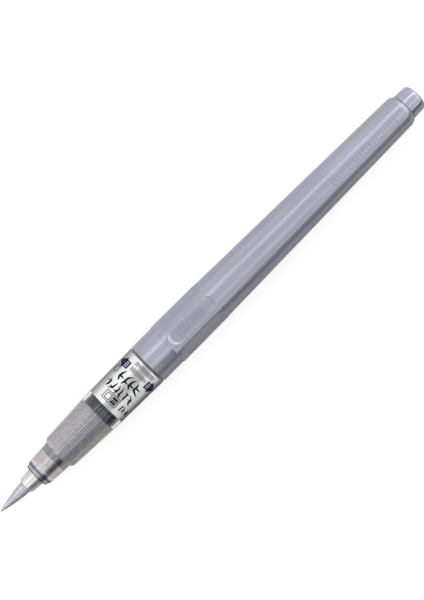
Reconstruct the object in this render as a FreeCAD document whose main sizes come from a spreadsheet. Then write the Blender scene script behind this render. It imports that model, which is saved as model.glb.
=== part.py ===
import FreeCAD, Part

# Calligraphy marker (brush pen), uncapped. Millimetres.
#
# The pen's axis is the X axis, with the brush point at -X, the tail at +X and the push pad facing +Z.
# The origin is the middle of the seat that the cap is pushed on to.
# Every sub-part is drawn with x as the distance behind the brush point, and its Placement then slides it along the
# axis to its place.

import math
import os
import re

import Sketcher

doc = FreeCAD.newDocument("brush_pen")
sheet = doc.addObject("Spreadsheet::Sheet", "Sizes")

# Names that end in _x are distances behind the brush point, and names that end in _rad are radii.
SIZES = {
    "whole pen": {
        "pen_length": 166.0,
        "fit_gap": 0.05,
        "face_gap": 0.05,
    },
    "brush tuft": {
        "tuft_point_x": 1.3,
        "tuft_point_rad": 0.5,
        "tuft_middle_x": 4.2,
        "tuft_middle_rad": 1.17,
        "tuft_pivot_x": 9.0,
        "tuft_rad": 1.83,
    },
    "tuft root": {
        "root_front_x": 11.1,
        "root_hole_x": 12.2,
        "root_rear_x": 14.0,
    },
    "nozzle": {
        "nozzle_front_x": 10.1,
        "nozzle_rim_rad": 2.25,
        "nozzle_cone_x": 10.55,
        "nozzle_cone_rad": 2.45,
        "nozzle_bore_rad": 2.05,
        "nozzle_seat_x": 13.1,
        "nozzle_seat_rad": 2.4,
        "nozzle_stem_x": 14.4,
        "nozzle_stem_rad": 2.8,
        "nozzle_flange_x": 16.45,
        "nozzle_rear_x": 17.0,
    },
    "retainer ring": {
        "retainer_front_rad": 3.75,
        "retainer_rear_x": 15.35,
        "retainer_rear_rad": 4.02,
    },
    "front section": {
        "section_front_x": 15.4,
        "section_front_rad": 4.05,
        "section_brow_x": 15.9,
        "section_brow_rad": 4.2,
        "collar_rear_x": 22.8,
        "collar_rear_rad": 4.61,
        "step_rear_x": 23.7,
        "step_rear_rad": 5.45,
        "label_front_x": 41.9,
        "section_rim_rad": 6.3,
        "recess_front_rad": 6.2,
        "label_rear_x": 57.9,
        "recess_rear_rad": 6.43,
        "section_rear_x": 58.2,
        "section_lip_rad": 6.51,
        "holder_bore_rad": 3.25,
        "housing_bore_x": 23.9,
        "housing_bore_rad": 4.4,
        "thread_bore_x": 38.7,
        "thread_bore_rad": 5.45,
    },
    "label": {
        "label_thickness": 0.06,
        "label_gap": 0.01,
    },
    "ink feed": {
        "wick_rad": 0.9,
        "wick_hole_rad": 1.0,
        "wick_rear_x": 46.0,
        "holder_rear_x": 23.8,
        "housing_front_x": 24.0,
        "housing_floor_x": 24.8,
        "housing_rear_x": 44.0,
        "housing_rad": 4.3,
        "housing_inner_rad": 3.75,
        "comb_rear_x": 39.0,
        "comb_core_rad": 1.8,
        "comb_fin_rad": 3.65,
        "comb_fin_thickness": 0.45,
        "comb_pitch": 1.0,
        "comb_fins": 14,
        "comb_slot_width": 0.5,
        "pipe_flange_x": 39.1,
        "pipe_flange_rear_x": 43.6,
        "pipe_rad": 1.4,
        "pipe_rear_x": 52.5,
        "pipe_tip_rad": 1.15,
        "pipe_bevel": 0.6,
    },
    "holder ring": {
        "ribs_front_x": 38.8,
        "ribs_rear_x": 40.9,
        "rib_ring_rear_x": 41.8,
        "rib_core_rad": 5.0,
        "rib_width": 0.42,
        "rib_count": 26,
    },
    "seal ring": {
        "seal_front_x": 58.25,
        "seal_rear_x": 58.55,
        "seal_outer_rad": 6.25,
    },
    "barrel": {
        "neck_front_x": 49.5,
        "neck_rad": 5.35,
        "neck_bore_rad": 4.4,
        "neck_bevel": 0.5,
        "barrel_front_x": 58.6,
        "barrel_front_rad": 6.42,
        "cap_seat_front_x": 58.9,
        "cap_seat_rear_x": 66.0,
        "cap_seat_rad": 6.55,
        "band_front_x": 66.4,
        "band_front_rad": 6.73,
        "band_rear_x": 84.0,
        "band_rear_rad": 6.6,
        "taper_front_x": 84.4,
        "taper_front_rad": 6.5,
        "taper_rear_x": 158.9,
        "taper_rear_rad": 5.03,
        "barrel_rear_x": 160.9,
        "barrel_rear_rad": 4.2,
        "shoulder_round": 0.7,
        "cavity_front_x": 60.5,
        "cavity_rad": 5.2,
        "cavity_taper_x": 86.0,
        "cavity_rear_x": 157.5,
        "cavity_rear_rad": 4.1,
        "plug_bore_rad": 3.4,
    },
    "hollows of the squeeze zone": {
        "hollow_centre_x": 75.6,
        "hollow_length": 17.5,
        "hollow_width": 5.7,
        "hollow_floor_z": 5.98,
        "hollow_count": 6,
        "window_length": 17.2,
        "window_width": 5.4,
        "window_low_z": 3.0,
        "cut_height": 6.0,
    },
    "push pad": {
        "pad_gap": 0.1,
        "pad_plate_length": 19.0,
        "pad_plate_angle": 76.0,
        "pad_plate_low_rad": 4.6,
        "pad_plate_high_rad": 5.12,
        "pad_foot_z": 4.75,
        "pad_bar_count": 8,
        "pad_bar_pitch": 1.3,
        "pad_bar_length": 2.6,
        "pad_bar_width": 0.55,
        "pad_bar_height": 0.16,
    },
    "tail plug": {
        "tail_stem_x": 154.5,
        "tail_head_x": 161.05,
        "tail_head_front_rad": 4.2,
        "tail_head_rear_rad": 4.05,
        "tail_round": 1.3,
    },
    "cartridge": {
        "mouth_front_x": 46.8,
        "mouth_rad": 2.4,
        "mouth_bore_rad": 1.75,
        "mouth_lip_x": 53.0,
        "cartridge_front_x": 54.0,
        "cartridge_rad": 3.5,
        "cartridge_bore_rad": 2.95,
        "mouth_plug_rear_x": 57.0,
        "cartridge_floor_x": 137.8,
        "cartridge_rear_x": 139.0,
        "cartridge_round": 1.0,
        "seal_sleeve_bore_rad": 1.45,
        "seal_sleeve_front_x": 46.9,
        "seal_sleeve_rear_x": 52.8,
    },
    "mixing ball": {
        "ball_rad": 1.5,
        "ball_x": 62.0,
    },
}


def fill_sheet():
    """Write each size under its group's title, with its name beside it as its alias."""
    row = 1
    for title, group in SIZES.items():
        sheet.set(f"A{row}", title)
        row += 1
        for name, size in group.items():
            sheet.set(f"A{row}", name)
            sheet.set(f"B{row}", str(size))
            sheet.setAlias(f"B{row}", name)
            row += 1
    doc.recompute()


def size(text):
    """The number that a size, or a sum of sizes, comes to."""
    return float(sheet.evalExpression(str(text)))


def bind(thing, name, text):
    """Tie a property or a constraint to a sum of named sizes."""
    thing.setExpression(name, re.sub(r"[a-z]\w*", lambda word: "Sizes." + word.group(), str(text)))


def put_in_place(thing, start="0"):
    """Slide a sub-part, drawn from the brush point, so that the origin is the middle of the cap's seat."""
    bind(thing, "Placement.Base.x", f"{start} - (cap_seat_front_x + cap_seat_rear_x) / 2")
    return thing


def new_body(label):
    """An empty body with its label, in its place."""
    body = doc.addObject("PartDesign::Body", label)
    body.Label = label
    return put_in_place(body)


def new_sketch(body, name, plane="XY_Plane", height=None):
    """A sketch on one of the body's origin planes, raised by a height if one is given."""
    sketch = body.newObject("Sketcher::SketchObject", f"{body.Name}_{name}")
    face = [item for item in body.Origin.OriginFeatures if item.Role == plane][0]
    sketch.AttachmentSupport = [(face, "")]
    sketch.MapMode = "FlatFace"
    if height is not None:
        bind(sketch, "AttachmentOffset.Base.z", height)
    return sketch


def hold(sketch, kind, places, text):
    """A dimension between two points of a sketch, tied to a sum of named sizes."""
    index = sketch.addConstraint(Sketcher.Constraint(kind, *places, size(text)))
    bind(sketch, f"Constraints[{index}]", text)


def draw_polygon(sketch, corners):
    """A closed outline whose corners are pairs of named sizes: along the sketch, then across it."""
    points = [FreeCAD.Vector(size(along), size(across), 0) for along, across in corners]
    count = len(points)
    for start in range(count):
        sketch.addGeometry(Part.LineSegment(points[start], points[(start + 1) % count]), False)
    for line in range(count):
        sketch.addConstraint(Sketcher.Constraint("Coincident", line, 2, (line + 1) % count, 1))
    for line, (along, across) in enumerate(corners):
        hold(sketch, "DistanceX", (-1, 1, line, 1), along)
        if across == 0:
            sketch.addConstraint(Sketcher.Constraint("PointOnObject", line, 1, -1))
        else:
            hold(sketch, "DistanceY", (-1, 1, line, 1), across)


def draw_stadium(sketch, centre, length, width):
    """A slot with round ends on the sketch's horizontal axis: two lines and two half circles."""
    radius = size(width) / 2
    left = FreeCAD.Vector(size(centre) - size(length) / 2 + radius, 0, 0)
    right = FreeCAD.Vector(size(centre) + size(length) / 2 - radius, 0, 0)
    up = FreeCAD.Vector(0, radius, 0)
    normal = FreeCAD.Vector(0, 0, 1)
    quarter = math.pi / 2
    sketch.addGeometry(Part.LineSegment(left - up, right - up), False)
    sketch.addGeometry(Part.ArcOfCircle(Part.Circle(right, normal, radius), -quarter, quarter), False)
    sketch.addGeometry(Part.LineSegment(right + up, left + up), False)
    sketch.addGeometry(Part.ArcOfCircle(Part.Circle(left, normal, radius), quarter, 3 * quarter), False)
    for one, other in ((0, 1), (1, 2), (2, 3), (3, 0)):
        sketch.addConstraint(Sketcher.Constraint("Tangent", one, 2, other, 1))
    for arc in (1, 3):
        sketch.addConstraint(Sketcher.Constraint("PointOnObject", arc, 3, -1))
    hold(sketch, "DistanceX", (-1, 1, 3, 3), f"{centre} - ({length}) / 2 + ({width}) / 2")
    hold(sketch, "DistanceX", (-1, 1, 1, 3), f"{centre} + ({length}) / 2 - ({width}) / 2")
    hold(sketch, "Radius", (1,), f"({width}) / 2")


def turn(body, corners, name="outline"):
    """Turn a closed outline of (x, radius) corners once round the pen's axis."""
    sketch = new_sketch(body, name)
    draw_polygon(sketch, corners)
    feature = body.newObject("PartDesign::Revolution", f"{body.Name}_turned_{name}")
    feature.Profile = sketch
    feature.ReferenceAxis = (sketch, ["H_Axis"])
    feature.Angle = 360
    doc.recompute()
    return feature


def turned_body(label, corners):
    """A body that is one turned outline."""
    body = new_body(label)
    turn(body, corners)
    return body


def soften(body, kind, rings, text):
    """Fillet or chamfer the body's circular edges that lie at the given (x, radius) places."""
    wanted = [(size(along), size(radius)) for along, radius in rings]
    base = body.Tip
    names = []
    for number, edge in enumerate(base.Shape.Edges, start=1):
        if not isinstance(edge.Curve, Part.Circle):
            continue
        place = (edge.Curve.Center.x, edge.Curve.Radius)
        if any(math.dist(place, ring) < 1e-4 for ring in wanted):
            names.append(f"Edge{number}")
    feature = body.newObject(f"PartDesign::{kind}", f"{body.Name}_{kind.lower()}")
    feature.Base = (base, names)
    bind(feature, "Radius" if kind == "Fillet" else "Size", text)
    doc.recompute()


def cut_upwards(body, sketch, height):
    """Cut a sketch's shape out of the body, from the sketch's plane up, and check that it took something."""
    before = body.Shape.Volume
    feature = body.newObject("PartDesign::Pocket", f"{sketch.Name}_cut")
    feature.Profile = sketch
    feature.Reversed = True
    bind(feature, "Length", height)
    doc.recompute()
    if body.Shape.Volume > before - 1e-3:
        raise RuntimeError(f"{feature.Name} cuts nothing")
    return feature


def raise_up(body, sketch, height):
    """Build a sketch's shape up from the sketch's plane."""
    feature = body.newObject("PartDesign::Pad", f"{sketch.Name}_raised")
    feature.Profile = sketch
    bind(feature, "Length", height)
    doc.recompute()
    return feature


def repeat_along(body, feature, axis, pitch, count):
    """Repeat a feature in a row along one of the body's origin axes."""
    row = body.newObject("PartDesign::LinearPattern", f"{feature.Name}_row")
    row.Originals = [feature]
    row.Direction = ([item for item in body.Origin.OriginFeatures if item.Role == axis][0], [""])
    bind(row, "Length", f"({pitch}) * ({count} - 1)")
    bind(row, "Occurrences", count)
    body.Tip = row
    doc.recompute()


def repeat_round(body, feature, count):
    """Repeat a feature evenly round the pen's axis."""
    ring = body.newObject("PartDesign::PolarPattern", f"{feature.Name}_ring")
    ring.Originals = [feature]
    ring.Axis = ([item for item in body.Origin.OriginFeatures if item.Role == "X_Axis"][0], [""])
    ring.Angle = 360
    bind(ring, "Occurrences", count)
    body.Tip = ring
    doc.recompute()


# ---- the brush ----------------------------------------------------------------------------------

def make_brush_tuft():
    """The bundle of hair: three cones from point to belly, ending in a ball about which it bends."""
    along_pen = FreeCAD.Rotation(FreeCAD.Vector(0, 1, 0), 90)
    stations = [("0", "0"), ("tuft_point_x", "tuft_point_rad"), ("tuft_middle_x", "tuft_middle_rad"),
                ("tuft_pivot_x", "tuft_rad")]
    pieces = []
    for (start, start_rad), (end, end_rad) in zip(stations, stations[1:]):
        cone = doc.addObject("Part::Cone", f"hair_cone_{len(pieces) + 1}")
        bind(cone, "Radius1", start_rad)
        bind(cone, "Radius2", end_rad)
        bind(cone, "Height", f"{end} - {start}")
        cone.Placement = FreeCAD.Placement(FreeCAD.Vector(size(start), 0, 0), along_pen)
        bind(cone, "Placement.Base.x", start)
        pieces.append(cone)
    ball = doc.addObject("Part::Sphere", "hair_root_ball")
    bind(ball, "Radius", "tuft_rad")
    bind(ball, "Placement.Base.x", "tuft_pivot_x")
    tuft = doc.addObject("Part::MultiFuse", "brush_tuft")
    tuft.Shapes = pieces + [ball]
    tuft.Label = "brush_tuft"
    return put_in_place(tuft)


def make_tuft_root():
    """The hairs' fused root: a plug with a flange, hollow behind for the end of the wick."""
    return turned_body("tuft_root", [
        ("root_front_x", 0),
        ("root_front_x", "nozzle_bore_rad - fit_gap"),
        ("nozzle_seat_x + face_gap", "nozzle_bore_rad - fit_gap"),
        ("nozzle_seat_x + face_gap", "nozzle_seat_rad - fit_gap"),
        ("root_rear_x", "nozzle_seat_rad - fit_gap"),
        ("root_rear_x", "wick_hole_rad"),
        ("root_hole_x", "wick_hole_rad"),
        ("root_hole_x", 0),
    ])


def make_nozzle():
    """The bright cone that the hair comes out of, with a stem and a flange inside the section's collar."""
    return turned_body("nozzle", [
        ("nozzle_front_x", "nozzle_bore_rad"),
        ("nozzle_front_x", "nozzle_rim_rad"),
        ("nozzle_cone_x", "nozzle_cone_rad"),
        ("nozzle_stem_x", "nozzle_stem_rad"),
        ("nozzle_flange_x", "nozzle_stem_rad"),
        ("nozzle_flange_x", "holder_bore_rad - fit_gap"),
        ("nozzle_rear_x", "holder_bore_rad - fit_gap"),
        ("nozzle_rear_x", "nozzle_seat_rad"),
        ("nozzle_seat_x", "nozzle_seat_rad"),
        ("nozzle_seat_x", "nozzle_bore_rad"),
    ])


def make_retainer_ring():
    """The narrow clear ring that is pushed over the nozzle against the section's front face."""
    return turned_body("retainer_ring", [
        ("nozzle_stem_x + face_gap", "nozzle_stem_rad + fit_gap"),
        ("nozzle_stem_x + face_gap", "retainer_front_rad"),
        ("retainer_rear_x", "retainer_rear_rad"),
        ("retainer_rear_x", "nozzle_stem_rad + fit_gap"),
    ])


def make_tip_holder():
    """The bush that clamps the hairs' root in the nozzle and leads the wick through."""
    return turned_body("tip_holder", [
        ("root_rear_x + face_gap", "wick_hole_rad"),
        ("root_rear_x + face_gap", "nozzle_seat_rad - fit_gap"),
        ("nozzle_rear_x + face_gap", "nozzle_seat_rad - fit_gap"),
        ("nozzle_rear_x + face_gap", "holder_bore_rad - fit_gap"),
        ("holder_rear_x", "holder_bore_rad - fit_gap"),
        ("holder_rear_x", "wick_hole_rad"),
    ])


# ---- the clear front section and what shows through it ------------------------------------------

def make_front_section():
    """The clear stepped shell: a collar, a step, a flared grip and a shallow recess for the label."""
    return turned_body("front_section", [
        ("section_front_x", "nozzle_stem_rad + fit_gap"),
        ("section_front_x", "section_front_rad"),
        ("section_brow_x", "section_brow_rad"),
        ("collar_rear_x", "collar_rear_rad"),
        ("step_rear_x", "step_rear_rad"),
        ("label_front_x", "section_rim_rad"),
        ("label_front_x", "recess_front_rad"),
        ("label_rear_x", "recess_rear_rad"),
        ("label_rear_x", "section_lip_rad"),
        ("section_rear_x", "section_lip_rad"),
        ("section_rear_x", "thread_bore_rad"),
        ("thread_bore_x", "thread_bore_rad"),
        ("thread_bore_x", "housing_bore_rad"),
        ("housing_bore_x", "housing_bore_rad"),
        ("housing_bore_x", "holder_bore_rad"),
        ("nozzle_flange_x - face_gap", "holder_bore_rad"),
        ("nozzle_flange_x - face_gap", "nozzle_stem_rad + fit_gap"),
    ])


def make_label():
    """The foil wrapped round the section, in its recess."""
    return turned_body("label", [
        ("label_front_x + face_gap", "recess_front_rad + label_gap"),
        ("label_front_x + face_gap", "recess_front_rad + label_gap + label_thickness"),
        ("label_rear_x - face_gap", "recess_rear_rad + label_gap + label_thickness"),
        ("label_rear_x - face_gap", "recess_rear_rad + label_gap"),
    ])


def make_feed_housing():
    """The inner tube that holds the ink feed, with a floor at the front that the wick goes through."""
    return turned_body("feed_housing", [
        ("housing_front_x", "wick_hole_rad"),
        ("housing_front_x", "housing_rad"),
        ("housing_rear_x", "housing_rad"),
        ("housing_rear_x", "housing_inner_rad"),
        ("housing_floor_x", "housing_inner_rad"),
        ("housing_floor_x", "wick_hole_rad"),
    ])


def make_comb_feed():
    """The finned ink regulator: a core with a row of thin discs, and one slot through the discs for air."""
    body = turned_body("comb_feed", [
        ("housing_floor_x + face_gap", "wick_hole_rad"),
        ("housing_floor_x + face_gap", "comb_core_rad"),
        ("comb_rear_x", "comb_core_rad"),
        ("comb_rear_x", "wick_hole_rad"),
    ])
    fin = turn(body, [
        ("housing_floor_x + face_gap", "wick_hole_rad"),
        ("housing_floor_x + face_gap", "comb_fin_rad"),
        ("housing_floor_x + face_gap + comb_fin_thickness", "comb_fin_rad"),
        ("housing_floor_x + face_gap + comb_fin_thickness", "wick_hole_rad"),
    ], name="fin")
    repeat_along(body, fin, "X_Axis", "comb_pitch", "comb_fins")
    slot = new_sketch(body, "slot", height="comb_core_rad + fit_gap")
    draw_polygon(slot, [
        ("housing_floor_x", "-comb_slot_width / 2"),
        ("comb_rear_x", "-comb_slot_width / 2"),
        ("comb_rear_x", "comb_slot_width / 2"),
        ("housing_floor_x", "comb_slot_width / 2"),
    ])
    cut_upwards(body, slot, "comb_fin_rad")
    return body


def make_ink_wick():
    """The fibre rod from the feed pipe to the hairs' root."""
    return turned_body("ink_wick", [
        ("root_hole_x + face_gap", 0),
        ("root_hole_x + face_gap", "wick_rad"),
        ("wick_rear_x", "wick_rad"),
        ("wick_rear_x", 0),
    ])


def make_feed_pipe():
    """The plug behind the comb with the nipple that goes into the cartridge's mouth."""
    return turned_body("feed_pipe", [
        ("pipe_flange_x", "wick_hole_rad"),
        ("pipe_flange_x", "housing_inner_rad - fit_gap"),
        ("pipe_flange_rear_x", "housing_inner_rad - fit_gap"),
        ("pipe_flange_rear_x", "pipe_rad"),
        ("pipe_rear_x - pipe_bevel", "pipe_rad"),
        ("pipe_rear_x", "pipe_tip_rad"),
        ("pipe_rear_x", "wick_hole_rad"),
    ])


def make_holder_ring():
    """The dark ring that locks the feed housing in the section: lengthwise ribs, then a plain band."""
    body = turned_body("holder_ring", [
        ("ribs_front_x", "housing_rad + fit_gap"),
        ("ribs_front_x", "rib_core_rad"),
        ("ribs_rear_x", "rib_core_rad"),
        ("ribs_rear_x", "thread_bore_rad - fit_gap"),
        ("rib_ring_rear_x", "thread_bore_rad - fit_gap"),
        ("rib_ring_rear_x", "housing_rad + fit_gap"),
    ])
    sketch = new_sketch(body, "rib", height="rib_core_rad - face_gap")
    draw_polygon(sketch, [
        ("ribs_front_x", "-rib_width / 2"),
        ("ribs_rear_x", "-rib_width / 2"),
        ("ribs_rear_x", "rib_width / 2"),
        ("ribs_front_x", "rib_width / 2"),
    ])
    rib = raise_up(body, sketch, "thread_bore_rad - 2 * fit_gap - rib_core_rad + face_gap")
    repeat_round(body, rib, "rib_count")
    return body


# ---- the barrel ---------------------------------------------------------------------------------

def make_seal_ring():
    """The flat washer between the section and the barrel, loose on the barrel's neck."""
    return turned_body("seal_ring", [
        ("seal_front_x", "thread_bore_rad"),
        ("seal_front_x", "seal_outer_rad"),
        ("seal_rear_x", "seal_outer_rad"),
        ("seal_rear_x", "thread_bore_rad"),
    ])


def make_barrel():
    """The barrel: neck, cap seat, raised band with six scooped hollows, long taper and rounded shoulder."""
    body = turned_body("barrel", [
        ("neck_front_x", "neck_bore_rad"),
        ("neck_front_x", "neck_rad - neck_bevel"),
        ("neck_front_x + neck_bevel", "neck_rad"),
        ("barrel_front_x", "neck_rad"),
        ("barrel_front_x", "barrel_front_rad"),
        ("cap_seat_front_x", "cap_seat_rad"),
        ("cap_seat_rear_x", "cap_seat_rad"),
        ("band_front_x", "band_front_rad"),
        ("band_rear_x", "band_rear_rad"),
        ("taper_front_x", "taper_front_rad"),
        ("taper_rear_x", "taper_rear_rad"),
        ("barrel_rear_x", "barrel_rear_rad"),
        ("barrel_rear_x", "plug_bore_rad"),
        ("cavity_rear_x", "plug_bore_rad"),
        ("cavity_rear_x", "cavity_rear_rad"),
        ("cavity_taper_x", "cavity_rad"),
        ("cavity_front_x", "cavity_rad"),
        ("cavity_front_x", "neck_bore_rad"),
    ])
    soften(body, "Fillet", [("taper_rear_x", "taper_rear_rad")], "shoulder_round")
    hollow = new_sketch(body, "hollow", height="hollow_floor_z")
    draw_stadium(hollow, "hollow_centre_x", "hollow_length", "hollow_width")
    repeat_round(body, cut_upwards(body, hollow, "cut_height"), "hollow_count")
    window = new_sketch(body, "window", height="window_low_z")
    draw_stadium(window, "hollow_centre_x", "window_length", "window_width")
    cut_upwards(body, window, "cut_height")
    return body


def make_push_pad():
    """The pad: a curved plate behind the barrel's wall, a stadium that fills the window, and raised bars."""
    body = new_body("push_pad")
    section = new_sketch(body, "plate", plane="XZ_Plane")
    front = "hollow_centre_x - pad_plate_length / 2"
    rear = "hollow_centre_x + pad_plate_length / 2"
    draw_polygon(section, [
        (front, "pad_plate_low_rad"),
        (front, "pad_plate_high_rad"),
        (rear, "pad_plate_high_rad"),
        (rear, "pad_plate_low_rad"),
    ])
    plate = body.newObject("PartDesign::Revolution", "push_pad_plate_turned")
    plate.Profile = section
    plate.ReferenceAxis = (section, ["H_Axis"])
    plate.Midplane = True
    bind(plate, "Angle", "pad_plate_angle")
    doc.recompute()

    face = new_sketch(body, "face", height="pad_foot_z")
    draw_stadium(face, "hollow_centre_x", "window_length - 2 * pad_gap", "window_width - 2 * pad_gap")
    raise_up(body, face, "hollow_floor_z - pad_foot_z")

    bar = new_sketch(body, "bar", height="hollow_floor_z - face_gap")
    bar_front = "hollow_centre_x - (pad_bar_count - 1) * pad_bar_pitch / 2 - pad_bar_width / 2"
    bar_rear = "hollow_centre_x - (pad_bar_count - 1) * pad_bar_pitch / 2 + pad_bar_width / 2"
    draw_polygon(bar, [
        (bar_front, "-pad_bar_length / 2"),
        (bar_rear, "-pad_bar_length / 2"),
        (bar_rear, "pad_bar_length / 2"),
        (bar_front, "pad_bar_length / 2"),
    ])
    repeat_along(body, raise_up(body, bar, "pad_bar_height + face_gap"), "X_Axis", "pad_bar_pitch", "pad_bar_count")
    return body


def make_tail_plug():
    """The plug that closes the tail: a stem in the barrel's bore and a slightly tapered, rounded head."""
    body = turned_body("tail_plug", [
        ("tail_stem_x", 0),
        ("tail_stem_x", "plug_bore_rad - fit_gap"),
        ("tail_head_x", "plug_bore_rad - fit_gap"),
        ("tail_head_x", "tail_head_front_rad"),
        ("pen_length", "tail_head_rear_rad"),
        ("pen_length", 0),
    ])
    soften(body, "Fillet", [("pen_length", "tail_head_rear_rad")], "tail_round")
    return body


# ---- the ink cartridge --------------------------------------------------------------------------

def make_cartridge_tube():
    """The ink tube, open in front and closed behind."""
    body = turned_body("cartridge_tube", [
        ("cartridge_front_x + face_gap", "cartridge_bore_rad"),
        ("cartridge_front_x + face_gap", "cartridge_rad"),
        ("cartridge_rear_x", "cartridge_rad"),
        ("cartridge_rear_x", 0),
        ("cartridge_floor_x", 0),
        ("cartridge_floor_x", "cartridge_bore_rad"),
    ])
    soften(body, "Fillet", [("cartridge_rear_x", "cartridge_rad")], "cartridge_round")
    return body


def make_cartridge_mouth():
    """The neck that is pressed into the front of the ink tube."""
    return turned_body("cartridge_mouth", [
        ("mouth_front_x", "mouth_bore_rad"),
        ("mouth_front_x", "mouth_rad"),
        ("mouth_lip_x", "mouth_rad"),
        ("mouth_lip_x", "cartridge_rad"),
        ("cartridge_front_x", "cartridge_rad"),
        ("cartridge_front_x", "cartridge_bore_rad - fit_gap"),
        ("mouth_plug_rear_x", "cartridge_bore_rad - fit_gap"),
        ("mouth_plug_rear_x", "mouth_bore_rad"),
    ])


def make_mouth_seal():
    """The soft sleeve in the mouth, which grips the feed pipe."""
    return turned_body("mouth_seal", [
        ("seal_sleeve_front_x", "seal_sleeve_bore_rad"),
        ("seal_sleeve_front_x", "mouth_bore_rad - fit_gap"),
        ("seal_sleeve_rear_x", "mouth_bore_rad - fit_gap"),
        ("seal_sleeve_rear_x", "seal_sleeve_bore_rad"),
    ])


def make_mixing_ball():
    """The loose ball, lying on the bottom of the ink tube near its front."""
    ball = doc.addObject("Part::Sphere", "mixing_ball")
    ball.Label = "mixing_ball"
    bind(ball, "Radius", "ball_rad")
    bind(ball, "Placement.Base.z", "-(cartridge_bore_rad - ball_rad - fit_gap)")
    return put_in_place(ball, start="ball_x")


def check_document():
    """Stop if any object of the document failed."""
    doc.recompute()
    failed = [item.Label for item in doc.Objects if {"Invalid", "Error"} & set(item.State)]
    if failed:
        raise RuntimeError(f"failed objects: {failed}")


def export(parts):
    """Write each sub-part's solid to parts/LABEL.step."""
    os.makedirs("parts", exist_ok=True)
    for part in parts:
        shape = part.Shape
        if shape.isNull() or not shape.isValid() or len(shape.Solids) != 1:
            raise RuntimeError(f"{part.Label} isn't one valid solid")
        shape.exportStep(f"parts/{part.Label}.step")
        box = shape.BoundBox
        print(f"{part.Label:16s} {shape.Volume:9.2f} mm3  x {box.XMin:7.2f}..{box.XMax:7.2f}"
              f"  z {box.ZMin:6.2f}..{box.ZMax:6.2f}")


fill_sheet()
SUB_PARTS = [
    make_brush_tuft(),
    make_tuft_root(),
    make_nozzle(),
    make_retainer_ring(),
    make_tip_holder(),
    make_front_section(),
    make_label(),
    make_feed_housing(),
    make_comb_feed(),
    make_ink_wick(),
    make_feed_pipe(),
    make_holder_ring(),
    make_seal_ring(),
    make_barrel(),
    make_push_pad(),
    make_tail_plug(),
    make_cartridge_tube(),
    make_cartridge_mouth(),
    make_mouth_seal(),
    make_mixing_ball(),
]
check_document()
export(SUB_PARTS)
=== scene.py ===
import math

import bmesh
import bpy
import numpy as np
from mathutils import Matrix, Vector


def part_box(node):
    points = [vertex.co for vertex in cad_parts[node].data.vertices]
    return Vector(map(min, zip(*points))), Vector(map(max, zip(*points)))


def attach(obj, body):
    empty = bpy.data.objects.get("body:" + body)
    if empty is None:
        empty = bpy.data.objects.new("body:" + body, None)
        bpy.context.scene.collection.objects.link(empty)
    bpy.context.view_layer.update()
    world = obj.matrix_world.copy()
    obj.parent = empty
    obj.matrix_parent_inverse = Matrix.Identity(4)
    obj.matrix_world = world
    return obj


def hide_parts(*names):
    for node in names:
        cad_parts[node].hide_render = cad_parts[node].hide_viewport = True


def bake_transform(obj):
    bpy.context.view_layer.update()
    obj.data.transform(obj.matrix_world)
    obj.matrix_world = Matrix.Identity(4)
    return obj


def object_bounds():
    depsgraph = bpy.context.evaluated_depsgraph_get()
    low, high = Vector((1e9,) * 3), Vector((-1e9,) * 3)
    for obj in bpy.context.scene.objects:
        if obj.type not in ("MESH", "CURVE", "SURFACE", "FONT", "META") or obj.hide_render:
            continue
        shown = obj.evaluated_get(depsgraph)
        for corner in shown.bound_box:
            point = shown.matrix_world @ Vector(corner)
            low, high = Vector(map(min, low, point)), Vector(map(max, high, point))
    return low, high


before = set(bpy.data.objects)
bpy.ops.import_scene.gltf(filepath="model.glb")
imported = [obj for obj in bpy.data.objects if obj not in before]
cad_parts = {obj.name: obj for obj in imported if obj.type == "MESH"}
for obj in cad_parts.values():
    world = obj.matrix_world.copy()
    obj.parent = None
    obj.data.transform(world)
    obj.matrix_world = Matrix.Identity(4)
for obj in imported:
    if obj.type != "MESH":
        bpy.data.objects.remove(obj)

# A calligraphy marker (brush pen), uncapped, on a white table under a soft studio light.
#
# The CAD frame's X axis is the pen's axis. Every size along it, u, is in millimetres behind the brush point, and
# every radius is in millimetres. An angle round the pen is measured from +Z, where the push pad is, towards -Y.

CAD_LOW, CAD_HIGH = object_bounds()
MM = 0.001
POINT_X = CAD_LOW.x
RANDOM = np.random.default_rng(41)


def x_at(u):
    """The frame's x, in metres, at u millimetres behind the brush point."""
    return POINT_X + u * MM


def around(u, radius, angle):
    """The frame's point, in metres, at a distance behind the brush point, a radius and an angle in radians."""
    return (x_at(u), -radius * math.sin(angle) * MM, radius * math.cos(angle) * MM)


def span(node):
    """Where a CAD node starts and ends, in millimetres behind the brush point, and its largest radius."""
    low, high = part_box(node)
    return (low.x - POINT_X) / MM, (high.x - POINT_X) / MM, (high.y - low.y) / 2 / MM


# ---------------------------------------------------------------- meshes


def make_piece(name, points, faces, material, body, sharp_degrees=38, closed=True):
    """A smooth mesh, in metres, that rides on a CAD body. Edges that turn further than the angle stay sharp."""
    mesh = bpy.data.meshes.new(name)
    mesh.from_pydata([tuple(p) for p in points], [], faces)
    if closed:
        shape = bmesh.new()
        shape.from_mesh(mesh)
        bmesh.ops.recalc_face_normals(shape, faces=shape.faces)
        shape.to_mesh(mesh)
        shape.free()
    mesh.polygons.foreach_set("use_smooth", [True] * len(mesh.polygons))
    mesh.set_sharp_from_angle(angle=math.radians(sharp_degrees))
    mesh.materials.append(material)
    piece = bpy.data.objects.new(name, mesh)
    bpy.context.scene.collection.objects.link(piece)
    if body is not None:
        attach(piece, body)
    return piece


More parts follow.
